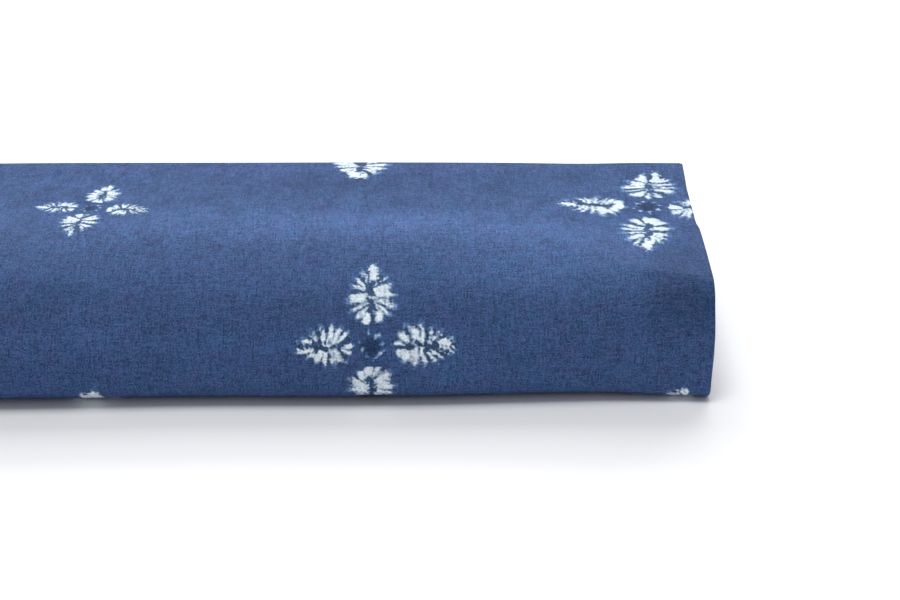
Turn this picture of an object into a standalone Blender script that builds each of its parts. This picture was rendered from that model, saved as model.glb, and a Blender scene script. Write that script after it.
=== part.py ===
"""A folded length of printed cotton cloth, lying flat as a cloth shop keeps it.

It is one cut of cloth and one solid. The cloth is folded in four across its width, then back
and forth along its length into nine panels, and the panels are folded once more together. So
the section is one sheet of nine laps, each a U turned on its side inside the one before it,
and the outermost lap wraps the bottom, the front and the top in one smooth face.

The folded width runs along X, the front faces -Y and the cloth lies on Z = 0.
"""

from collections import namedtuple
from math import cos, hypot, pi, sin, sqrt

import bmesh
import bpy

# Driving dimensions, in metres.
WIDTH = 0.275  # the cloth's full width of 1.10 m, folded in four
SHEET = 0.0015  # the four plies of the cloth, pressed together by their own weight
TIGHTEST_TURN = 0.0010  # to the middle of the sheet, where a fold is pressed flat
LONGEST_TURN = 2.3  # a top turn's reach back, in times that it sinks
LAP_SLACK = 0.00015  # how far a lap sinks towards the next one in before they touch

LAPS = 9
LAYERS = 2 * LAPS

# Steps between the stations of the section.
LEG_STEPS = 4
LOW_TURN_STEPS = 4
TOP_TURN_STEPS = 8
BACK_FOLD_STEPS = 5

# The outside of the fold from its left end to its right end, in metres. "along" is the share
# of the width. "front" and "back" are Y of its faces. "crest" is its height behind the front
# turn and "rear" its height at the back folds. The top turn is a quarter of an ellipse, which
# starts "reach" behind the front and sinks by "sink" to it: it is long and soft on the left,
# and pressed to a sharp corner near the right end. "low_turn" is the radius below the front.
# "lean" is how far the top of the front leans back.
Section = namedtuple("Section", "along front back crest rear reach sink low_turn lean")
SECTIONS = (
    Section(0.000, -0.0569, 0.0569, 0.0390, 0.0350, 0.0385, 0.0205, 0.0115, 0.0000),
    Section(0.213, -0.0567, 0.0569, 0.0403, 0.0356, 0.0460, 0.0235, 0.0112, 0.0000),
    Section(0.427, -0.0545, 0.0569, 0.0405, 0.0357, 0.0525, 0.0240, 0.0101, 0.0000),
    Section(0.653, -0.0541, 0.0565, 0.0405, 0.0360, 0.0500, 0.0235, 0.0098, 0.0000),
    Section(0.800, -0.0520, 0.0563, 0.0400, 0.0359, 0.0405, 0.0210, 0.0095, 0.0005),
    Section(0.880, -0.0509, 0.0566, 0.0390, 0.0355, 0.0300, 0.0160, 0.0087, 0.0018),
    Section(0.950, -0.0508, 0.0569, 0.0381, 0.0357, 0.0105, 0.0085, 0.0068, 0.0052),
    Section(1.000, -0.0511, 0.0569, 0.0371, 0.0356, 0.0060, 0.0060, 0.0060, 0.0062),
)

# How far each lap's ends stop short of the full width at its left and at its right, in metres,
# from the outermost lap in.
Lap = namedtuple("Lap", "left right")
LAP_ENDS = (
    Lap(0.0000, 0.0000),
    Lap(0.0012, 0.0009),
    Lap(0.0004, 0.0014),
    Lap(0.0017, 0.0006),
    Lap(0.0009, 0.0018),
    Lap(0.0021, 0.0011),
    Lap(0.0013, 0.0022),
    Lap(0.0006, 0.0013),
    Lap(0.0015, 0.0008),
)

# How far each fold at the back stops short of the back, in metres. Fold 0 joins laps 0 and 1
# at the top, fold 1 joins laps 1 and 2 at the bottom, and so on in turn.
BACK_FOLDS = (0.0000, 0.0016, 0.0023, 0.0007, 0.0012, 0.0026, 0.0031, 0.0014)
FREE_END_LOW = 0.0040  # the outermost lap's end under the fold
FREE_END_MIDDLE = 0.0065  # the innermost lap's end, between the two halves

INDIGO = (0.045, 0.075, 0.180, 1.0)

# A station is a point on the middle of the sheet, with the direction that its printed side
# faces and the lap it belongs to. Between two laps, the lap is a fraction.
Station = namedtuple("Station", "y z face_y face_z lap")


def spacing(height):
    """From the middle of one layer to the next, in a stack of this height."""
    return (height - SHEET) / (LAYERS - 1)


def stack_height(section, y):
    """The fold's height at y, and its slope: level at the front turn, falling to the rear."""
    start = section.front + section.reach
    share = min(max((y - start) / (section.back - start), 0.0), 1.0)
    fall = section.crest - section.rear
    height = section.crest - fall * share * share * (3 - 2 * share)
    slope = -fall * 6 * share * (1 - share) / (section.back - start)
    return height, slope


def leg_station(section, layer, y, lap):
    """A station of a flat layer. Layers above the middle face up, and those below face down."""
    height, slope = stack_height(section, y)
    z = SHEET / 2 + layer * spacing(height)
    tilt = slope * layer / (LAYERS - 1)
    side = 1 if layer >= LAPS else -1
    length = hypot(tilt, 1)
    return Station(y, z, -side * tilt / length, side / length, lap)


def turn_stations(y, z, reach, rise, start, end, steps, lap):
    """Stations on an ellipse about (y, z), from one angle to another, both left out."""
    stations = []
    for step in range(1, steps):
        angle = start + (end - start) * step / steps
        face_y, face_z = cos(angle) / reach, sin(angle) / rise
        length = hypot(face_y, face_z)
        place = y + reach * cos(angle), z + rise * sin(angle)
        stations.append(Station(*place, face_y / length, face_z / length, lap))
    return stations


def leg_stations(section, layer, start, end, lap):
    """Stations of a flat layer from one y to another, both kept."""
    places = (start + (end - start) * step / LEG_STEPS for step in range(LEG_STEPS + 1))
    return [leg_station(section, layer, y, lap) for y in places]


def fold_centre(section, fold):
    """Y, Z and radius of the fold at the back that joins lap number "fold" to the next."""
    low_layer = fold if fold % 2 else LAYERS - 2 - fold
    y = section.back - BACK_FOLDS[fold] - SHEET / 2 - spacing(section.rear) / 2
    height, _ = stack_height(section, y)
    gap = spacing(height)
    return y, SHEET / 2 + (low_layer + 0.5) * gap, gap / 2


def back_end(section, lap, top):
    """Y where a lap's top or bottom leg ends at the back."""
    fold = lap if (lap % 2 == 0) == top else lap - 1
    if fold < 0:
        return section.back - FREE_END_LOW
    if fold >= LAPS - 1:
        return section.back - FREE_END_MIDDLE
    return fold_centre(section, fold)[0]


def top_turn(section, lap):
    """Y of a lap's front, and how far its top turn reaches back and sinks there."""
    step = spacing(section.crest)
    depth = SHEET / 2 + lap * step
    room = (LAYERS - 1 - 2 * lap) * step - TIGHTEST_TURN
    sink = min(max(section.sink - depth, TIGHTEST_TURN), room)
    reach = max(min(section.reach - depth, LONGEST_TURN * sink), sink)
    if lap == 0:
        return section.front + depth, reach, sink
    # It lies a step inside the lap that wraps it, or more where that one hangs over it.
    front, outer_reach, outer_sink = top_turn(section, lap - 1)
    level = outer_reach * sqrt(2 * LAP_SLACK / outer_sink)
    return front + max(step, outer_reach - reach - level), reach, sink


def lap_stations(section, lap):
    """One lap from its bottom leg's back end round the front to its top leg's back end."""
    low = SHEET / 2 + lap * spacing(section.crest)
    top = SHEET / 2 + (LAYERS - 1 - lap) * spacing(section.crest)
    front, reach, sink = top_turn(section, lap)
    low_radius = min(max(section.low_turn - low, TIGHTEST_TURN), top - low - sink)
    low_y, low_z = front + low_radius, low + low_radius
    top_y, top_z = front + reach, top - sink
    stations = leg_stations(section, lap, back_end(section, lap, False), low_y, lap)
    stations += turn_stations(
        low_y, low_z, low_radius, low_radius, -pi / 2, -pi, LOW_TURN_STEPS, lap
    )
    stations.append(Station(front, low_z, -1, 0, lap))
    stations.append(Station(front, top_z, -1, 0, lap))
    stations += turn_stations(top_y, top_z, reach, sink, pi, pi / 2, TOP_TURN_STEPS, lap)
    far = back_end(section, lap, True)
    return stations + leg_stations(section, LAYERS - 1 - lap, top_y, far, lap)


def leant(section, station):
    """A station moved back as the front of the stack leans, most at the top of the front."""
    depth = section.back - section.front
    rise, behind = station.z / section.crest, (section.back - station.y) / depth
    shift = section.lean * rise**2 * behind
    stretch, shear = 1 - section.lean * rise**2 / depth, 2 * section.lean * rise * behind
    face_y = station.face_y / stretch
    face_z = station.face_z - face_y * shear / section.crest
    length = hypot(face_y, face_z)
    return Station(station.y + shift, station.z, face_y / length, face_z / length, station.lap)


def turned(stations):
    """The same stations in the other order, with the printed side on their other side."""
    return [Station(s.y, s.z, -s.face_y, -s.face_z, s.lap) for s in reversed(stations)]


def fold_stations(section, fold):
    """The fold at the back after lap number "fold". Top folds carry the print outside."""
    y, z, radius = fold_centre(section, fold)
    outside = fold % 2 == 0
    start = pi / 2 if outside else -pi / 2
    stations = turn_stations(y, z, radius, radius, start, -start, BACK_FOLD_STEPS, fold + 0.5)
    if outside:
        return stations
    return [Station(s.y, s.z, -s.face_y, -s.face_z, s.lap) for s in stations]


def section_stations(section):
    """The whole sheet at one section, from its free end under the fold to its inner end."""
    stations = []
    for lap in range(LAPS):
        u_turn = lap_stations(section, lap)
        stations += u_turn if lap % 2 == 0 else turned(u_turn)
        if lap < LAPS - 1:
            stations += fold_stations(section, lap)
    return [leant(section, station) for station in stations]


def place_along(section, lap):
    """X of a station: each lap's ends stop a little short, and a fold's are between its laps'."""
    below, above = LAP_ENDS[int(lap)], LAP_ENDS[min(int(lap + 0.5), LAPS - 1)]
    left = -WIDTH / 2 + (below.left + above.left) / 2
    right = WIDTH / 2 - (below.right + above.right) / 2
    return left + (right - left) * section.along


def sheet_sides(bm):
    """The printed side and the reverse as two grids of vertices, one row for each section."""
    printed, reverse = [], []
    for section in SECTIONS:
        stations = section_stations(section)
        for side, grid in ((SHEET / 2, printed), (-SHEET / 2, reverse)):
            row = []
            for s in stations:
                x = place_along(section, s.lap)
                row.append(bm.verts.new((x, s.y + side * s.face_y, s.z + side * s.face_z)))
            grid.append(row)
    return printed, reverse


def join_rows(bm, first, second):
    """A strip of faces between two rows of vertices."""
    for a, b, c, d in zip(first, first[1:], second[1:], second):
        bm.faces.new((a, b, c, d))


def folded_cloth_mesh():
    bm = bmesh.new()
    printed, reverse = sheet_sides(bm)
    for row, next_row in zip(printed, printed[1:]):
        join_rows(bm, row, next_row)
    for row, next_row in zip(reverse, reverse[1:]):
        join_rows(bm, next_row, row)
    # The two selvage ends, then the two cut ends.
    join_rows(bm, reverse[0], printed[0])
    join_rows(bm, printed[-1], reverse[-1])
    join_rows(bm, [row[0] for row in printed], [row[0] for row in reverse])
    join_rows(bm, [row[-1] for row in reverse], [row[-1] for row in printed])
    bmesh.ops.recalc_face_normals(bm, faces=bm.faces)
    mesh = bpy.data.meshes.new("folded_cloth")
    bm.to_mesh(mesh)
    bm.free()
    return mesh


def cotton_material():
    material = bpy.data.materials.new("indigo_cotton")
    material.use_nodes = True
    shader = material.node_tree.nodes["Principled BSDF"]
    shader.inputs["Base Color"].default_value = INDIGO
    shader.inputs["Roughness"].default_value = 0.9
    shader.inputs["Metallic"].default_value = 0.0
    material.diffuse_color = INDIGO
    return material


def make_folded_cloth():
    mesh = folded_cloth_mesh()
    mesh.shade_smooth()
    mesh.set_sharp_from_angle(angle=pi / 4)
    mesh.materials.append(cotton_material())
    cloth = bpy.data.objects.new("folded_cloth", mesh)
    bpy.context.scene.collection.objects.link(cloth)
    return cloth


for old in list(bpy.data.objects):
    bpy.data.objects.remove(old)
make_folded_cloth()
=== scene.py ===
"""The looks of a folded length of indigo cotton with a tie-dye print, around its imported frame."""

from collections import namedtuple
from math import floor, pi, radians

import bpy
import numpy as np
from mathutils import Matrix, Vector


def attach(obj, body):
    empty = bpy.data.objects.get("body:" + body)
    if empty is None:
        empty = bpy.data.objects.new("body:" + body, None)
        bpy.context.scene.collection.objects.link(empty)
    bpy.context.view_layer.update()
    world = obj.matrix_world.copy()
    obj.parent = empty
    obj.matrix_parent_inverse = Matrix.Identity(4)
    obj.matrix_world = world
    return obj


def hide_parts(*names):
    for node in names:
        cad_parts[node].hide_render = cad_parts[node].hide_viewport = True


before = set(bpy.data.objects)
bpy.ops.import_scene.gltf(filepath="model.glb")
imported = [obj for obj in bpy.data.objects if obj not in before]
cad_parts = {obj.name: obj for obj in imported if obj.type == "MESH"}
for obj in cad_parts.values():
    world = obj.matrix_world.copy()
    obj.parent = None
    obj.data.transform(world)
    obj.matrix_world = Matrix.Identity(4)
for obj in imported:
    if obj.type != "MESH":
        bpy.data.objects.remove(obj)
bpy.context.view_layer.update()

# THE CLOTH
# One cut of plain-weave cotton sheeting, dyed and printed on one side, 1.10 m wide between its
# selvages. It is folded in four across its width, back and forth along its length into nine
# panels, and once more together, so that its outermost lap wraps the front. Nothing is sewn.

WIDTH = 0.275  # the folded width, a quarter of the cloth's
PLY = 0.00033  # one thickness of the cloth
PLY_SPACING = 0.00039  # from the middle of one ply to the next
SHEET = 3 * PLY_SPACING + PLY  # the four plies, one on another
TIGHTEST_TURN = 0.0010  # to the middle of the sheet, where a fold is pressed flat
LONGEST_TURN = 2.3  # a top turn's reach back, in times that it sinks
LAP_SLACK = 0.00015  # how far a lap sinks towards the next one in before they touch
LAPS = 9
LAYERS = 2 * LAPS
CUT_WIDTH, CUT_LENGTH = 1.10, 1.88

# The outside of the fold from its left end to its right end, in metres. "along" is the share
# of the width. "front" and "back" are Y of its faces. "crest" is its height behind the front
# turn and "rear" its height at the back folds. The top turn is a quarter of an ellipse, which
# starts "reach" behind the front and sinks by "sink" to it: it is long and soft on the left,
# and pressed to a sharp corner near the right end. "low_turn" is the radius below the front.
# "lean" is how far the top of the front leans back.
Section = namedtuple("Section", "along front back crest rear reach sink low_turn lean")
SECTIONS = (
    Section(0.000, -0.0569, 0.0569, 0.0390, 0.0350, 0.0385, 0.0205, 0.0115, 0.0000),
    Section(0.213, -0.0567, 0.0569, 0.0403, 0.0356, 0.0460, 0.0235, 0.0112, 0.0000),
    Section(0.427, -0.0545, 0.0569, 0.0405, 0.0357, 0.0525, 0.0240, 0.0101, 0.0000),
    Section(0.653, -0.0541, 0.0565, 0.0405, 0.0360, 0.0500, 0.0235, 0.0098, 0.0000),
    Section(0.800, -0.0520, 0.0563, 0.0400, 0.0359, 0.0405, 0.0210, 0.0095, 0.0005),
    Section(0.880, -0.0509, 0.0566, 0.0390, 0.0355, 0.0300, 0.0160, 0.0087, 0.0018),
    Section(0.950, -0.0508, 0.0569, 0.0381, 0.0357, 0.0105, 0.0085, 0.0068, 0.0052),
    Section(1.000, -0.0511, 0.0569, 0.0371, 0.0356, 0.0060, 0.0060, 0.0060, 0.0062),
)

# How far each lap's ends stop short at the left and at the right, outermost lap first.
Lap = namedtuple("Lap", "left right")
LAP_ENDS = (
    Lap(0.0000, 0.0000),
    Lap(0.0012, 0.0009),
    Lap(0.0004, 0.0014),
    Lap(0.0017, 0.0006),
    Lap(0.0009, 0.0018),
    Lap(0.0021, 0.0011),
    Lap(0.0013, 0.0022),
    Lap(0.0006, 0.0013),
    Lap(0.0015, 0.0008),
)

# How far the outermost lap's right end stands out, by how far along the cloth it is.
Edge = namedtuple("Edge", "way out")
RIGHT_EDGE = (
    Edge(0.000, -0.0001),
    Edge(0.012, -0.0004),
    Edge(0.020, -0.0007),
    Edge(0.034, -0.0007),
    Edge(0.044, -0.0006),
    Edge(0.050, -0.0007),
    Edge(0.055, 0.0001),
    Edge(0.070, 0.0002),
    Edge(0.092, 0.0003),
    Edge(0.104, 0.0003),
    Edge(0.112, 0.0006),
    Edge(0.120, 0.0004),
    Edge(0.128, -0.0001),
)

# How far each fold at the back stops short of the back, and the same for the two free ends.
BACK_FOLDS = (0.0000, 0.0016, 0.0023, 0.0007, 0.0012, 0.0026, 0.0031, 0.0014)
FREE_END_LOW = 0.0040
FREE_END_MIDDLE = 0.0065
BACK_FOLD_WAVER = 0.0004  # how far those folds waver along the width

# Steps along the section: the outermost lap's, which shows, and then every other lap's.
LEG_STEPS, LOW_STEPS, TOP_STEPS, FRONT_STEPS = (26, 7), (9, 6), (18, 8), (8, 3)
BACK_FOLD_STEPS = 7

# A place on the middle of the sheet, seen from the end of the fold, with the way that the
# printed side faces there.
Station = namedtuple("Station", "y z face_y face_z lap")


def smooth_table(shares, values, at):
    """A smooth curve through a table's values, by their shares of the width."""
    shares, values = np.array(shares), np.array(values)
    slopes = np.gradient(values, shares)
    i = np.clip(np.searchsorted(shares, at, side="right") - 1, 0, len(shares) - 2)
    span = shares[i + 1] - shares[i]
    t = (at - shares[i]) / span
    return (
        (1 + 2 * t) * (1 - t) ** 2 * values[i]
        + t * (1 - t) ** 2 * span * slopes[i]
        + t * t * (3 - 2 * t) * values[i + 1]
        - t * t * (1 - t) * span * slopes[i + 1]
    )


def sections_at(shares):
    """The section table as smooth curves: a Section whose members are arrays along the width."""
    known = [row.along for row in SECTIONS]
    columns = {
        name: smooth_table(known, [getattr(row, name) for row in SECTIONS], shares)
        for name in Section._fields[1:]
    }
    return Section(along=shares, **columns)


def spacing(height):
    """From the middle of one layer to the next, in a stack of this height."""
    return (height - SHEET) / (LAYERS - 1)


def stack_height(section, y):
    """The fold's height at y, and its slope: level at the front turn, falling to the rear."""
    start = section.front + section.reach
    share = np.clip((y - start) / (section.back - start), 0, 1)
    fall = section.crest - section.rear
    slope = -fall * 6 * share * (1 - share) / (section.back - start)
    return section.crest - fall * share * share * (3 - 2 * share), slope


def leg_stations(section, layer, start, end, lap, steps):
    """Stations of a flat layer from one y to another. Layers above the middle face up."""
    side = 1 if layer >= LAPS else -1
    stations = []
    for step in range(steps + 1):
        y = start + (end - start) * step / steps
        height, slope = stack_height(section, y)
        tilt = slope * layer / (LAYERS - 1)
        length = np.hypot(tilt, 1)
        z = SHEET / 2 + layer * spacing(height)
        stations.append(Station(y, z, -side * tilt / length, side / length, lap))
    return stations


def turn_stations(y, z, reach, rise, start, end, steps, lap):
    """Stations on a quarter or half of an ellipse about (y, z), with both its ends left out."""
    stations = []
    for angle in start + (end - start) * np.arange(1, steps) / steps:
        face_y, face_z = np.cos(angle) / reach, np.sin(angle) / rise
        length = np.hypot(face_y, face_z)
        place = y + reach * np.cos(angle), z + rise * np.sin(angle)
        stations.append(Station(*place, face_y / length, face_z / length, lap))
    return stations


def front_stations(front, low, high, steps, lap):
    """Stations down the front, between the low turn and the top turn."""
    shares = np.arange(steps + 1) / steps
    return [Station(front, low + (high - low) * t, -1, 0, lap) for t in shares]


def fold_centre(section, fold):
    """Y, Z and radius of the fold at the back that joins lap number "fold" to the next."""
    low_layer = fold if fold % 2 else LAYERS - 2 - fold
    swings, start = 0.8 + 0.23 * fold, 1.7 * fold
    waver = BACK_FOLD_WAVER * np.sin(2 * pi * section.along * swings + start)
    short = BACK_FOLDS[fold] + (waver + BACK_FOLD_WAVER if fold else 0)
    y = section.back - short - SHEET / 2 - spacing(section.rear) / 2
    gap = spacing(stack_height(section, y)[0])
    return y, SHEET / 2 + (low_layer + 0.5) * gap, gap / 2


def top_turn(section, lap):
    """Y of a lap's front, and how far its top turn reaches back and sinks there."""
    step = spacing(section.crest)
    depth = SHEET / 2 + lap * step
    room = (LAYERS - 1 - 2 * lap) * step - TIGHTEST_TURN
    sink = np.minimum(np.maximum(section.sink - depth, TIGHTEST_TURN), room)
    reach = np.maximum(np.minimum(section.reach - depth, LONGEST_TURN * sink), sink)
    if lap == 0:
        return section.front + depth, reach, sink
    # It lies a step inside the lap that wraps it, or more where that one hangs over it.
    front, outer_reach, outer_sink = top_turn(section, lap - 1)
    level = outer_reach * np.sqrt(2 * LAP_SLACK / outer_sink)
    return front + np.maximum(step, outer_reach - reach - level), reach, sink


def back_end(section, lap, top):
    """Y where a lap's top or bottom leg ends at the back."""
    fold = lap if (lap % 2 == 0) == top else lap - 1
    if fold < 0:
        return section.back - FREE_END_LOW
    if fold >= LAPS - 1:
        return section.back - FREE_END_MIDDLE
    return fold_centre(section, fold)[0]


def lap_stations(section, lap):
    """One lap from its bottom leg's back end round the front to its top leg's back end."""
    leg, low_steps, top_steps, front_steps = (
        steps[min(lap, 1)] for steps in (LEG_STEPS, LOW_STEPS, TOP_STEPS, FRONT_STEPS)
    )
    low = SHEET / 2 + lap * spacing(section.crest)
    top = SHEET / 2 + (LAYERS - 1 - lap) * spacing(section.crest)
    front, reach, sink = top_turn(section, lap)
    low_radius = np.minimum(np.maximum(section.low_turn - low, TIGHTEST_TURN), top - low - sink)
    low_y, top_y = front + low_radius, front + reach
    low_z, top_z = low + low_radius, top - sink
    stations = leg_stations(section, lap, back_end(section, lap, False), low_y, lap, leg)
    stations += turn_stations(low_y, low_z, low_radius, low_radius, -pi / 2, -pi, low_steps, lap)
    stations += front_stations(front, low_z, top_z, front_steps, lap)
    stations += turn_stations(top_y, top_z, reach, sink, pi, pi / 2, top_steps, lap)
    far = back_end(section, lap, True)
    return stations + leg_stations(section, LAYERS - 1 - lap, top_y, far, lap, leg)


def turned_over(stations):
    """The same stations with the printed side facing the other way."""
    return [Station(s.y, s.z, -s.face_y, -s.face_z, s.lap) for s in stations]


def fold_stations(section, fold):
    """The fold at the back after lap number "fold". Top folds carry the print outside."""
    y, z, radius = fold_centre(section, fold)
    start = pi / 2 if fold % 2 == 0 else -pi / 2
    stations = turn_stations(y, z, radius, radius, start, -start, BACK_FOLD_STEPS, fold + 0.5)
    return stations if fold % 2 == 0 else turned_over(stations)


def leant(section, station):
    """A station moved back as the front of the stack leans, most at the top of the front."""
    depth = section.back - section.front
    rise, behind = station.z / section.crest, (section.back - station.y) / depth
    shift = section.lean * rise**2 * behind
    stretch, shear = 1 - section.lean * rise**2 / depth, 2 * section.lean * rise * behind
    face_y = station.face_y / stretch
    face_z = station.face_z - face_y * shear / section.crest
    length = np.hypot(face_y, face_z)
    return Station(station.y + shift, station.z, face_y / length, face_z / length, station.lap)


def sheet_stations(section):
    """The whole length of the cloth, from its end under the fold to its inner end."""
    stations = []
    for lap in range(LAPS):
        u_turn = lap_stations(section, lap)
        stations += u_turn if lap % 2 == 0 else turned_over(reversed(u_turn))
        if lap < LAPS - 1:
            stations += fold_stations(section, lap)
    return [leant(section, station) for station in stations]


# Across the width the cloth is folded in half and in half again. "share" is the place between
# the two folded edges, "out" how far past them a turn reaches, and "level" the ply's height in
# the sheet. The way the print faces is "face_out" along the width and "face_up" in the sheet.
Across = namedtuple("Across", "share out level face_out face_up")
EDGE = SHEET / 2  # from a folded edge to the middle of its turn
OUTER_PLY = tuple(np.linspace(0, 1, 47))  # the shares of the width that have a column of points
INNER_PLY = (0, .10, .21, .32, .43, .54, .65, .73, .80, .84, .87, .90, .925, .95, .975, 1)
OUTER_TURN, INNER_TURN = 1.5 * PLY_SPACING, 0.5 * PLY_SPACING  # the radii of the edges' turns
OUTER_TURN_STEPS, INNER_TURN_STEPS = 8, 5
# How far the selvages and the two inner turns stop short of the sheet's edges.
SELVAGE_SHORT, INNER_TURN_SHORT, LEFT_TURN_SHORT = 0.0011, 0.0005, 0.0002


def quarter(shares, level, rightward, face_up):
    """One quarter of the width, from one folded edge towards the other, without its ends."""
    inside = shares[1:-1] if rightward else shares[-2:0:-1]
    return [Across(share, 0.0, level, 0.0, face_up) for share in inside]


def edge_turn(share, short, middle, radius, start, end, steps, print_outside):
    """The turn of a folded edge about its middle level."""
    way = 1 if print_outside else -1
    places = []
    for angle in start + (end - start) * np.arange(0, steps + 1) / steps:
        out, up = np.cos(angle), np.sin(angle)
        places.append(
            Across(share, short + radius * out, middle + radius * up, way * out, way * up)
        )
    return places


def width_places():
    """The four quarters of the width with the three turns between them, selvage to selvage."""
    upper, lower = OUTER_TURN, -OUTER_TURN
    left_middle, inner_steps = -2 * INNER_TURN, INNER_TURN_STEPS
    selvage = [Across(0.0, SELVAGE_SHORT, upper, 0.0, 1.0)]
    first = selvage + quarter(OUTER_PLY, upper, True, 1.0)
    right = edge_turn(1.0, 0.0, 0.0, OUTER_TURN, pi / 2, -pi / 2, OUTER_TURN_STEPS, True)
    second = quarter(INNER_PLY, lower, False, -1.0)
    left = edge_turn(
        0.0, LEFT_TURN_SHORT, left_middle, INNER_TURN, 3 * pi / 2, pi / 2, inner_steps, True
    )
    third = quarter(INNER_PLY, -INNER_TURN, True, 1.0)
    middle = edge_turn(
        1.0, -INNER_TURN_SHORT, 0.0, INNER_TURN, -pi / 2, pi / 2, inner_steps, False
    )
    fourth = quarter(INNER_PLY, INNER_TURN, False, -1.0)
    end = [Across(0.0, SELVAGE_SHORT / 2, INNER_TURN, 0.0, -1.0)]
    return first + right + second + left + third + middle + fourth + end


# Soft creases and swells of the outermost lap. "x" and "way" are where the
# middle lies: across the width, and along the cloth from the back fold over the top and down
# the front. "length" and "breadth" are how far it reaches both ways. "turn" is the crease's
# angle to the width, in degrees. A height below 0 is a trough.
Crease = namedtuple("Crease", "x way length breadth turn height")
CREASES = (
    Crease(-0.070, 0.009, 0.090, 0.0070, 0, 0.00035),
    Crease(0.060, 0.008, 0.070, 0.0060, 1, 0.00030),
    Crease(0.000, 0.046, 0.150, 0.0150, 0, -0.00055),
    Crease(0.060, 0.073, 0.080, 0.0110, 3, 0.00040),
    Crease(-0.060, 0.068, 0.070, 0.0090, -2, 0.00030),
    Crease(0.112, 0.026, 0.016, 0.0040, 62, 0.00022),
    Crease(0.126, 0.052, 0.012, 0.0022, 14, -0.00035),
    Crease(0.121, 0.0955, 0.019, 0.0016, 3, -0.00030),
    Crease(0.119, 0.0910, 0.022, 0.0028, 2, 0.00022),
    Crease(-0.037, 0.1020, 0.011, 0.0012, 0, -0.00018),
    Crease(-0.084, 0.0800, 0.018, 0.0035, 24, 0.00018),
    Crease(-0.020, 0.0860, 0.022, 0.0040, -17, 0.00018),
    Crease(0.030, 0.0880, 0.020, 0.0030, 9, -0.00016),
    Crease(0.072, 0.0830, 0.016, 0.0030, -26, 0.00016),
    Crease(-0.112, 0.0560, 0.017, 0.0050, -38, 0.00022),
    Crease(-0.098, 0.1130, 0.020, 0.0030, 12, -0.00018),
    Crease(0.094, 0.1130, 0.013, 0.0050, -74, 0.00020),
    Crease(0.018, 0.1230, 0.030, 0.0060, 5, -0.00022),
)

# The folded edges sway along the cloth, in a long swing and a short one. Their rates are in
# radians for each metre of it.
EDGE_SWAY, LONG_SWING, SHORT_SWING, SHORT_SHARE = 0.0003, 133, 326, 0.6

# The flat layers of the inner laps wave up and down, less and less as they bend into a turn.
LAYER_WAVE, WAVE_ALONG, WAVE_ACROSS = 0.00014, 170, 57
WAVE_FLATNESS = 40
WAVE_START = 0.01  # the length of cloth past the first back fold over which the waves grow


def crease_height(x, way):
    """How far the creases raise the outermost lap, at each place across and along it."""
    height = np.zeros_like(x)
    for c in CREASES:
        cos_turn, sin_turn = np.cos(radians(c.turn)), np.sin(radians(c.turn))
        along = (x - c.x) * cos_turn + (way - c.way) * sin_turn
        across = (way - c.way) * cos_turn - (x - c.x) * sin_turn
        height += c.height * np.exp(-((along / c.length) ** 2) - (across / c.breadth) ** 2)
    return height


# The print is a repeat of eight flowers, four across the cloth and two along it. "across" and
# "along" are where a flower's middle lies in the repeat, from the selvage and from the fold at
# the top of the back. The next four are the sizes of its petals, and 1 is a plain petal's.
# "turn" is how far its pair of petals across the cloth is turned, and "lean" is the same for the
# other pair, in degrees.
REPEAT_ACROSS, REPEAT_ALONG = 0.366, 0.228
Flower = namedtuple("Flower", "across along left right back front turn lean")
FLOWERS = (
    Flower(0.0790, 0.0472, 0.77, 0.78, 0.92, 0.86, 8, 8),
    Flower(0.0863, 0.1616, 1.34, 1.34, 1.18, 1.20, 0, 0),
    Flower(0.1711, 0.1141, 0.97, 1.03, 1.04, 0.96, -1, -1),
    Flower(0.1650, 0.2120, 1.18, 1.18, 1.26, 1.25, 0, 0),
    Flower(0.2606, 0.0388, 1.15, 1.10, 1.12, 1.50, 1, 7),
    Flower(0.2655, 0.1571, 1.08, 1.08, 1.06, 1.10, 2, 2),
    Flower(0.3520, 0.1080, 0.94, 0.96, 1.02, 1.05, -7, -5),
    Flower(0.3570, 0.2210, 1.12, 1.10, 1.10, 1.15, 5, 3),
)


def flower_places(where):
    """Each face's nearest flower, and where the face's corners lie in that flower, in mm.

    "where" holds the four corners of each face in the cut.
    """
    middle = where.mean(axis=1)
    nearest = np.full(len(where), np.inf)
    number, in_flower = np.zeros(len(where)), np.zeros(where.shape)
    repeat = np.array((REPEAT_ACROSS, REPEAT_ALONG))
    for i, flower in enumerate(FLOWERS):
        place = np.array((flower.across, flower.along))
        centre = place + np.round((middle - place) / repeat) * repeat
        distance = np.hypot(*(middle - centre).T)
        nearer = distance < nearest
        across, along = np.moveaxis(where[nearer] - centre[nearer][:, None], -1, 0)
        turn, lean = radians(flower.turn), radians(flower.lean)
        x = across * np.cos(lean) + along * np.sin(lean)
        y = along * np.cos(turn) - across * np.sin(turn)
        x /= np.where(x < 0, flower.left, flower.right)
        y /= np.where(y < 0, flower.back, flower.front)
        in_flower[nearer] = np.stack([x, y], axis=-1) * 1000
        nearest[nearer], number[nearer] = distance[nearer], i
    return number, in_flower


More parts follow.
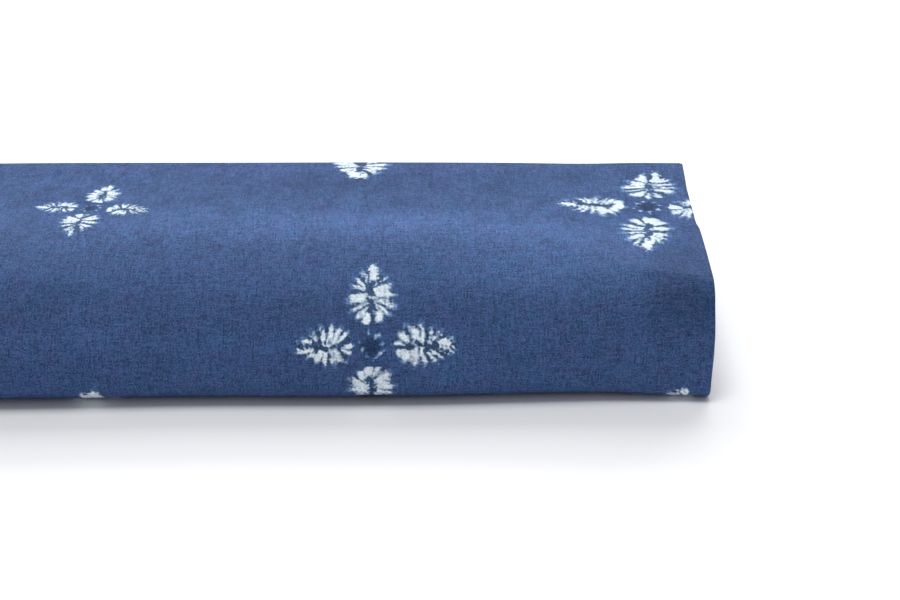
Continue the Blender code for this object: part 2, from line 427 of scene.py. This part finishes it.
def cloth_grid():
    """Points on the middle of the ply, the way its print faces, and where they lie in the cut.

    Each is an array with a row for each station along the cloth and a column for each place
    across its width.
    """
    places = width_places()
    share, out, level, face_out, face_up = (np.array(v) for v in zip(*places))
    stations = sheet_stations(sections_at(share))
    columns = len(places)
    wide = [[np.broadcast_to(v, columns) for v in s[:4]] for s in stations]
    y, z, face_y, face_z = np.array(wide).transpose(1, 0, 2)
    lap = np.array([s.lap for s in stations])

    # The length along the cloth, from the fold at the top of the back.
    steps = np.hypot(np.diff(y, axis=0), np.diff(z, axis=0))
    way = np.vstack([np.zeros(columns), np.cumsum(steps, axis=0)])
    fold_row = np.argmax(lap > 0) - 1
    way = way[fold_row] - way

    ends = np.array(LAP_ENDS)
    left = -WIDTH / 2 + EDGE + np.interp(lap, range(LAPS), ends[:, 0])
    right = WIDTH / 2 - EDGE - np.interp(lap, range(LAPS), ends[:, 1])
    edge_way, edge_out = np.array(RIGHT_EDGE).T
    last = np.argmax(share)
    at_edge = way[:, last]
    sway = np.sin(at_edge * LONG_SWING) + SHORT_SHARE * np.sin(at_edge * SHORT_SWING)
    sway = EDGE_SWAY * sway
    left += sway
    right += np.where(lap == 0, np.interp(at_edge, edge_way, edge_out), sway)
    outward = np.where(share > 0.5, out, -out)
    x = left[:, None] + (right - left)[:, None] * share + outward
    # The outermost lap has the creases. The flat parts of the others wave a little.
    inner = np.clip(-way / WAVE_START, 0, 1)
    wave = LAYER_WAVE * np.sin(way * WAVE_ALONG + x * WAVE_ACROSS)
    raised = crease_height(x, way)
    raised += wave * face_z**WAVE_FLATNESS * inner

    lift = level + raised
    points = np.stack([x, y + face_y * lift, z + face_z * lift], axis=-1)
    face_x = np.broadcast_to(np.where(share > 0.5, face_out, -face_out), x.shape)
    faces = np.stack([face_x, face_y * face_up, face_z * face_up], axis=-1)

    # Across the cut: the plies' length from selvage to selvage.
    flat_x = share * (WIDTH - 2 * EDGE) + outward
    across = np.concatenate([[0], np.cumsum(np.hypot(np.diff(flat_x), np.diff(level)))])
    cut = np.stack([np.broadcast_to(across, x.shape), way], axis=-1)
    return points, faces, cut


SHARP = 50  # degrees: the cloth's cut edges are sharper than this, and no fold is


def strip(first, second):
    """Quads between two rows of vertex numbers."""
    return np.stack([first[:-1], first[1:], second[1:], second[:-1]], axis=-1).reshape(-1, 4)


def cloth_mesh():
    """One closed shell: the printed side, the reverse and the four edges of the cut.

    It also holds where each face lies in the cut and in its nearest flower.
    """
    points, faces, cut = cloth_grid()
    rows, columns = points.shape[:2]
    printed = np.arange(rows * columns).reshape(rows, columns)
    reverse = printed + rows * columns
    corners = np.concatenate([points + faces * PLY / 2, points - faces * PLY / 2])
    quads = np.concatenate(
        [strip(printed[i + 1], printed[i]) for i in range(rows - 1)]
        + [strip(reverse[i], reverse[i + 1]) for i in range(rows - 1)]
        + [
            strip(printed[0], reverse[0]),
            strip(reverse[-1], printed[-1]),
            strip(reverse[:, 0], printed[:, 0]),
            strip(printed[:, -1], reverse[:, -1]),
        ]
    )
    mesh = bpy.data.meshes.new("folded_cotton")
    mesh.from_pydata(corners.reshape(-1, 3).tolist(), [], quads.tolist())
    reverse_side = np.ones(len(quads), dtype=np.int32)
    reverse_side[: (rows - 1) * (columns - 1)] = 0
    mesh.polygons.foreach_set("material_index", reverse_side)
    where = np.concatenate([cut, cut]).reshape(-1, 2)[quads]
    cut_map = mesh.uv_layers.new(name="cut")
    cut_map.data.foreach_set("uv", (where * 1000).astype(np.float32).ravel())
    number, in_flower = flower_places(where)
    flower_map = mesh.uv_layers.new(name="flower")
    flower_map.data.foreach_set("uv", in_flower.astype(np.float32).ravel())
    numbers = mesh.attributes.new("flower_number", "FLOAT", "FACE")
    numbers.data.foreach_set("value", number.astype(np.float32))
    mesh.update()
    mesh.validate()
    mesh.shade_smooth()
    mesh.set_sharp_from_angle(angle=radians(SHARP))
    return mesh


HALF_CUT = CUT_WIDTH / 2 * 1000  # mm across the cut: the cloth's halves have the same bands
THREAD = 0.44  # mm from one thread to the next, both ways
THREAD_STRAY = 1.5  # how many threads' breadths a thread strays from its line
# How light the cloth is where all is even, how much the threads and their crossings vary
# that, how much painted shade darkens each thread's sides against its round back, and how
# dark a thread may be.
EVEN_TONE, THREAD_CONTRAST, CROSSING_CONTRAST, PAINTED_THREAD_SHADE = 0.84, 1.45, 0.6, 0.24
DARKEST_TONE = 0.1
GREENER_INDIGO = (0.037, 0.0965, 0.211)
REDDER_INDIGO = (0.0610, 0.084, 0.211)
TIED_WHITE = (0.72, 0.81, 0.87)
PALE_BLUE = (0.17, 0.33, 0.58)
REVERSE_BLUE = (0.085, 0.135, 0.275)
ROUGHNESS, GLOSS = 0.42, 0.015
THREAD_RELIEF, THREAD_RISE = 0.25, 0.0001  # the bump's strength and its height in metres

# A petal of size 1, in mm: how far out from the flower's middle it starts, its length and half
# its breadth, for the pair across the cloth and the pair along it.
PETAL_START = 6.0
LENGTH_ACROSS, LENGTH_ALONG = 18.2, 20.4
HALF_BREADTH_ACROSS, HALF_BREADTH_ALONG = 5.5, 6.6
PETAL_SWAY = 1.4  # how far its shape sways, from one side to the other
CORE_MIDDLE, CORE_REACH = 0.43, 0.2  # the dark core's place, in shares of the petal's length
FEWEST_RAYS = 12
CORE_DEPTH = 0.55  # how much deeper the dye is in a core and in a star's heart
HALO = 0.6  # how much of the paler blue the dye has around the white

# The star in a flower's middle, in mm: its dark heart, its shade, and its ring of dots.
HEART, SHADE, DOT_RING, DOTS = 2.4, 6.0, 3.5, 8


class Value:
    """A shader socket that can be reckoned with as a number. Lengths are in millimetres."""

    def __init__(self, socket):
        self.socket = socket

    def node(self, kind, settings, inputs, output=0):
        """A new node in the same tree. Its inputs are values or plain numbers."""
        tree = self.socket.id_data
        node = tree.nodes.new(kind)
        for name, value in settings.items():
            setattr(node, name, value)
        for name, value in inputs.items():
            if isinstance(value, Value):
                tree.links.new(value.socket, node.inputs[name])
            else:
                node.inputs[name].default_value = value
        return Value(node.outputs[output])

    def math(self, operation, *values):
        return self.node("ShaderNodeMath", {"operation": operation}, dict(enumerate(values)))

    def __add__(self, other):
        return self.math("ADD", self, other)

    def __sub__(self, other):
        return self.math("SUBTRACT", self, other)

    def __rsub__(self, other):
        return self.math("SUBTRACT", other, self)

    def __mul__(self, other):
        return self.math("MULTIPLY", self, other)

    def __truediv__(self, other):
        return self.math("DIVIDE", self, other)

    def __pow__(self, other):
        return self.math("POWER", self, other)

    def __gt__(self, other):
        return self.math("GREATER_THAN", self, other)

    def __abs__(self):
        return self.math("ABSOLUTE", self)

    def __floor__(self):
        return self.math("FLOOR", self)

    __radd__, __rmul__ = __add__, __mul__

    def least(self, other):
        return self.math("MINIMUM", self, other)

    def most(self, other):
        return self.math("MAXIMUM", self, other)

    def ramp(self, low, high):
        """0 below one value, 1 above another, and soft between them."""
        inputs = {"Value": self, "From Min": low, "From Max": high}
        return self.node("ShaderNodeMapRange", {"interpolation_type": "SMOOTHSTEP"}, inputs)

    def noise(self, other, third, detail=0.0):
        """Smooth noise from 0 to 1, with about one swell to each unit of the place.

        Each third number gives another noise.
        """
        place = self.node("ShaderNodeCombineXYZ", {}, {0: self, 1: other, 2: third})
        inputs = {"Vector": place, "Scale": 1.0, "Detail": detail}
        return self.node("ShaderNodeTexNoise", {}, inputs)

    def pick(self, salt):
        """A random number from 0 to 1 for each whole number. Each salt gives another."""
        return self.node("ShaderNodeTexWhiteNoise", {"noise_dimensions": "1D"}, {"W": self + salt})

    def blend(self, first, second):
        """A colour between two others: the first at 0 and the second at 1."""
        inputs = {0: self, 6: first, 7: second}
        return self.node("ShaderNodeMix", {"data_type": "RGBA"}, inputs, output=2)

    def light(self, colour):
        """A colour made this much lighter or darker."""
        inputs = {0: colour, "Scale": self}
        return self.node("ShaderNodeVectorMath", {"operation": "SCALE"}, inputs)


def hypotenuse(x, y):
    """How long the two are together, at right angles."""
    return (x * x + y * y) ** 0.5


def map_places(material, name):
    """The two directions of one of the cloth's maps."""
    uv_map = material.node_tree.nodes.new("ShaderNodeUVMap")
    uv_map.uv_map = name
    place = Value(uv_map.outputs["UV"])
    across = place.node("ShaderNodeSeparateXYZ", {}, {0: place})
    return across, Value(across.socket.node.outputs["Y"])


def weave(u, v):
    """Plain weave: how light the thread on top is, with painted shade at its sides, and how high it
    stands there.
    """
    warps = u / THREAD + (u / 14).noise(v / 20, 4.7) * THREAD_STRAY
    wefts = v / THREAD + (u / 20).noise(v / 14, 9.2) * THREAD_STRAY
    warp, weft = floor(warps), floor(wefts)
    pair = (warp + weft) / 2
    warp_on_top = (pair - floor(pair)) * 2
    weft_on_top = 1 - warp_on_top
    warp_tone = (warp * 17.3).noise(v / 4, 1.5, 1.0)
    weft_tone = (u / 4).noise(weft * 13.7, 7.5, 1.0)
    speck = (warp * 157 + weft).pick(0.3)
    side = warp_on_top * abs((warps - warp) * 2 - 1) + weft_on_top * abs((wefts - weft) * 2 - 1)
    tone = warp_on_top * warp_tone + weft_on_top * weft_tone
    height = 1 - side * side
    uneven = EVEN_TONE + (tone - 0.5) * THREAD_CONTRAST + (speck - 0.5) * CROSSING_CONTRAST
    return (uneven + height * PAINTED_THREAD_SHADE).most(DARKEST_TONE), height


def petals(x, y, number):
    """How white, how dark and how pale the four petals are, at a place in a flower."""
    upright = abs(y) > abs(x)
    level = 1 - upright
    outward = level * x + upright * y
    petal = number * 4 + upright * 2 + (outward > 0)
    sway_out = (x / 4).noise(y / 4, petal * 3.7) * PETAL_SWAY - PETAL_SWAY / 2
    sway_aside = (x / 3).noise(y / 3, petal * 5.9) * PETAL_SWAY - PETAL_SWAY / 2
    along = abs(outward) + sway_out
    across = level * y + upright * x + sway_aside

    # The outline, blunt towards the flower's middle and pointed away from it.
    inner = PETAL_START + petal.pick(0.1) * 0.8
    length = level * LENGTH_ACROSS + upright * LENGTH_ALONG + petal.pick(0.2) * 1.6 - 0.8
    half_breadth = level * HALF_BREADTH_ACROSS + upright * HALF_BREADTH_ALONG
    half_breadth = half_breadth * (petal.pick(0.3) * 0.14 + 0.93)
    share = ((along - inner) / length).most(0).least(1)
    outline = share**0.5 * (1 - share) ** 0.9 * half_breadth / 0.4
    beyond = (inner - along).most(along - inner - length).most(0)
    inside = (outline - abs(across)) * 0.85 - beyond

    # The dark rays run out from a dark core, as the lines of hyperbolas about its two ends.
    core = length * CORE_REACH
    off_middle = along - inner - length * CORE_MIDDLE
    to_far, to_near = hypotenuse(off_middle - core, across), hypotenuse(off_middle + core, across)
    cosine = ((to_near - to_far) / (core * 2)).most(-1).least(1)
    sine = (1 - cosine * cosine) ** 0.5 * ((across > 0) * 2 - 1)
    angle = sine.math("ARCTAN2", sine, cosine)
    rays = floor(petal.pick(0.4) * 4) + FEWEST_RAYS
    sway = (cosine * 1.2).noise(sine * 1.2, petal * 4.3) * 9
    wave = angle.math("COSINE", angle * rays + sway)
    to_ray = angle.math("ARCCOSINE", wave * -1) / rays * (to_far * to_near) ** 0.5
    opening = (1 - inside / 2.2).most(0).least(1) * 0.7
    ray_width = (cosine * 2.6).noise(sine * 2.6, petal * 2.9) * 4.0 - 1.95 + opening
    core_width = (along / 2.0).noise(across / 2.0, petal * 7.1) * 4.0 - 0.9
    to_core = hypotenuse((abs(off_middle) - core).most(0), across)
    crumbs = ((x / 0.9).noise(y / 0.9, petal * 1.3) - 0.5) * (share * 2.2 + 0.9)

    # "tied" is how far inside a white lobe a place is.
    tied = (inside + wave * 0.5 - 0.2).least(to_ray - ray_width).least(to_core - core_width)
    tied = tied + crumbs
    white = tied.ramp(-0.5, 0.95)
    dark = inside.ramp(-0.7, 0.6)
    fringe = (inside + wave * 0.7 + crumbs).ramp(-1.4, 0.4) * (1 - dark * 0.75)
    return white, dark, fringe.most(tied.ramp(-0.8, 0.2))


def flower_middle(x, y, number):
    """How white, how dark and how pale the star of small dots in a flower's middle is."""
    out = hypotenuse(x, y)
    angle = y.math("ARCTAN2", y, x)
    sway = (x / 3).noise(y / 3, number * 6.1)
    wave = angle.math("COSINE", angle * DOTS + sway * 4)
    strength = (x / 1.3).noise(y / 1.3, number * 3.3)
    dots = wave * 0.5 - abs(out - DOT_RING) * 0.9 + strength * 3.6 - 1.65
    heart, shade = (HEART - wave * 0.5 - out).ramp(-0.7, 0.5), (SHADE - out).ramp(0, 2.5)
    return dots.ramp(0.4, 1.5) * 0.6, heart.most(shade * 0.25) * 0.85, dots.ramp(-0.3, 0.9)


def finish_cotton(material, colour, height):
    """The dull surface of cotton, with this colour and with its threads standing up."""
    shader = material.node_tree.nodes["Principled BSDF"]
    shader.inputs["Roughness"].default_value = ROUGHNESS
    shader.inputs["Specular IOR Level"].default_value = GLOSS
    heights = {"Height": height, "Strength": THREAD_RELIEF, "Distance": THREAD_RISE}
    material.node_tree.links.new(colour.socket, shader.inputs["Base Color"])
    bump = height.node("ShaderNodeBump", {}, heights)
    material.node_tree.links.new(bump.socket, shader.inputs["Normal"])


def cloudiness(u, v):
    """How unevenly the dye has taken, from one place to another."""
    return (u / 28).noise(v / 22, 2.2, 2.0) * 0.22 + 0.89


def band(place, middle, breadth):
    """1 along a line across or along the cloth, falling softly to 0 this far to both sides."""
    return (1 - abs(place - middle) / breadth).ramp(0, 1)


def painted_light_and_shade(u, v):
    """How much painted light and shade lighten and deepen the dye, with random mottles.

    Painted sheen makes it paler along the crest and on a shoulder near the right end, and painted
    light makes it paler down the front. Painted shade makes it deeper behind the crest, before the
    front turn and on the right end's corner. It is also darker over the right end and paler in one
    smudge on the front. Each place is in mm across the cut (u) or along it (v). The mottles are on
    the top alone.
    """
    u = u - floor(u / HALF_CUT) * HALF_CUT
    wander = (u / 40).noise(v / 60, 6.4) * 6 - 3
    # Painted sheen along the crest and its shoulder, painted light down the front, and painted
    # shade behind the crest, before the front turn and at the right end's corner.
    crest = band(v + wander, 61 + u.ramp(190, 235) * 6, 18)
    strength = band(u, 215, 75) * 0.30 + band(u, 140, 90) * 0.18 + 0.05
    shoulder = band(v + wander, 88, 14) * band(u, 228, 45) * 0.12
    behind = band(v + wander, 20, 24) * band(u, 170, 110) * 0.15
    before = band(v + wander, 103, 14) * 0.12
    end = (band(v, 94, 30) * 0.20 + band(v, 120, 18) * 0.10) * u.ramp(250, 262)
    corner = band(v, 68, 20) * u.ramp(255, 266) * 0.15
    smudge = band(u, 197, 14) * band(v, 119, 14) * 0.14
    front = v.ramp(100, 122) * 0.12 + v.ramp(72, 84) * band(u, 225, 52) * 0.09
    mottles = (u / 8).noise(v / 16, 5.2, 1.0) + (u / 1.6).noise(v / 5, 3.1, 1.0) - 1
    mottles = mottles * (1 - v.ramp(70, 95)) * 0.45
    paler = crest * strength + shoulder + smudge + front + mottles
    return 1 + paler - behind - before - end - corner


def printed_cotton():
    """The printed side: white petals tied into an indigo ground."""
    material = bpy.data.materials.new("printed_cotton")
    material.use_nodes = True
    u, v = map_places(material, "cut")
    x, y = map_places(material, "flower")
    numbers = material.node_tree.nodes.new("ShaderNodeAttribute")
    numbers.attribute_name = "flower_number"
    number = Value(numbers.outputs["Fac"])

    tone, height = weave(u, v)
    white, dark, pale = petals(x, y, number)
    # The one petal that the foot of the fold cuts loses its white and its paler fringe from where
    # the fold turns under.
    white_cut_at_foot = (v.ramp(130.3, 132.3) - v.ramp(150, 160)) * band(u, 172, 40).ramp(0, 0.3)
    white, pale = white * (1 - white_cut_at_foot), pale * (1 - white_cut_at_foot)
    star_white, star_dark, star_pale = flower_middle(x, y, number)
    # The dye carries painted sheen and shade along the crest and painted light down the front.
    dye = tone * cloudiness(u, v) * painted_light_and_shade(u, v) * (1 - dark.most(star_dark) * CORE_DEPTH)
    hue = (u / 6).noise(v / 5, 8.8, 3.0)
    ground = hue.blend(dye.light(GREENER_INDIGO), dye.light(REDDER_INDIGO))
    fringed = (pale.most(star_pale) * HALO).blend(ground, tone.light(PALE_BLUE))
    # Painted light: the white is a little lighter down the front than on the top.
    tied_white = ((tone * 0.5 + 0.5) * (v.ramp(92, 112) * 0.28 + 0.86)).light(TIED_WHITE)
    colour = white.most(star_white).blend(fringed, tied_white)
    finish_cotton(material, colour, height)
    return material


def cotton_reverse():
    """The unprinted side, paler because the dye only soaks through to it."""
    material = bpy.data.materials.new("cotton_reverse")
    material.use_nodes = True
    u, v = map_places(material, "cut")
    tone, height = weave(u, v)
    finish_cotton(material, (tone * cloudiness(u, v)).light(REVERSE_BLUE), height)
    return material


folded_cotton = bpy.data.objects.new("folded_cotton", cloth_mesh())
bpy.context.scene.collection.objects.link(folded_cotton)

for material in (printed_cotton(), cotton_reverse()):
    folded_cotton.data.materials.append(material)

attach(folded_cotton, "root")
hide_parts("folded_cloth")

# THE TABLE
# A plain white table top that the fold lies on, of smooth painted board and far wider than the
# view. It only carries the cloth and its shadow.

TABLE_SIZE = 8.0
TABLE_DROP = 0.0001  # below the fold's underside, so that the two faces don't meet
TABLE_WHITE = (0.856, 0.858, 0.88, 1)
TABLE_ROUGHNESS = 0.7

bpy.ops.mesh.primitive_plane_add(size=TABLE_SIZE, location=(0, 0, -TABLE_DROP))
table = bpy.context.object
table.name = "table"
table_white = bpy.data.materials.new("table_white")
table_white.use_nodes = True
table_shader = table_white.node_tree.nodes["Principled BSDF"]
table_shader.inputs["Base Color"].default_value = TABLE_WHITE
table_shader.inputs["Roughness"].default_value = TABLE_ROUGHNESS
table.data.materials.append(table_white)

# THE LIGHT
# A pale room with three soft boxes: one straight overhead, one above the back, and a low wide
# one behind the fold, which shows up the swells of its top.

ROOM_LIGHT = 0.40

world = bpy.data.worlds.new("pale_room")
world.use_nodes = True
room = world.node_tree.nodes["Background"]
room.inputs["Color"].default_value = (1, 1, 1, 1)
room.inputs["Strength"].default_value = ROOM_LIGHT
bpy.context.scene.world = world

# Each box faces the middle of the fold's foot. Lengths are in metres and powers in watts.
Softbox = namedtuple("Softbox", "name place width depth power")
SOFTBOXES = (
    Softbox("overhead", (0.0, -0.1, 1.2), 0.45, 0.45, 7.0),
    Softbox("above_back", (0.0, 0.9, 1.2), 1.2, 0.6, 7.0),
    Softbox("low_behind", (0.0, 1.2, 0.8), 2.4, 0.36, 15.0),
)
for box in SOFTBOXES:
    lamp = bpy.data.lights.new(box.name, "AREA")
    lamp.shape = "RECTANGLE"
    lamp.size, lamp.size_y = box.width, box.depth
    lamp.energy = box.power
    softbox = bpy.data.objects.new(box.name, lamp)
    softbox.location = box.place
    softbox.rotation_euler = (-Vector(box.place)).to_track_quat("-Z", "Y").to_euler()
    bpy.context.scene.collection.objects.link(softbox)

# THE CAMERA
# It stands in front of the fold, a little to the right of its middle, and looks down on it. Its
# lens is long, so the fold's depth hardly narrows.

CAMERA_PLACE = (0.05735, -0.6422, 0.3235)
LOOKS_DOWN = 26.0  # degrees below the horizon
LENS, SENSOR = 87.6, 36.0  # mm

camera_data = bpy.data.cameras.new("camera")
camera_data.lens = LENS
camera_data.sensor_width = SENSOR
camera = bpy.data.objects.new("camera", camera_data)
camera.location = CAMERA_PLACE
camera.rotation_euler = (radians(90 - LOOKS_DOWN), 0, 0)
bpy.context.scene.collection.objects.link(camera)
bpy.context.scene.camera = camera
bpy.context.scene.view_settings.view_transform = "Standard"
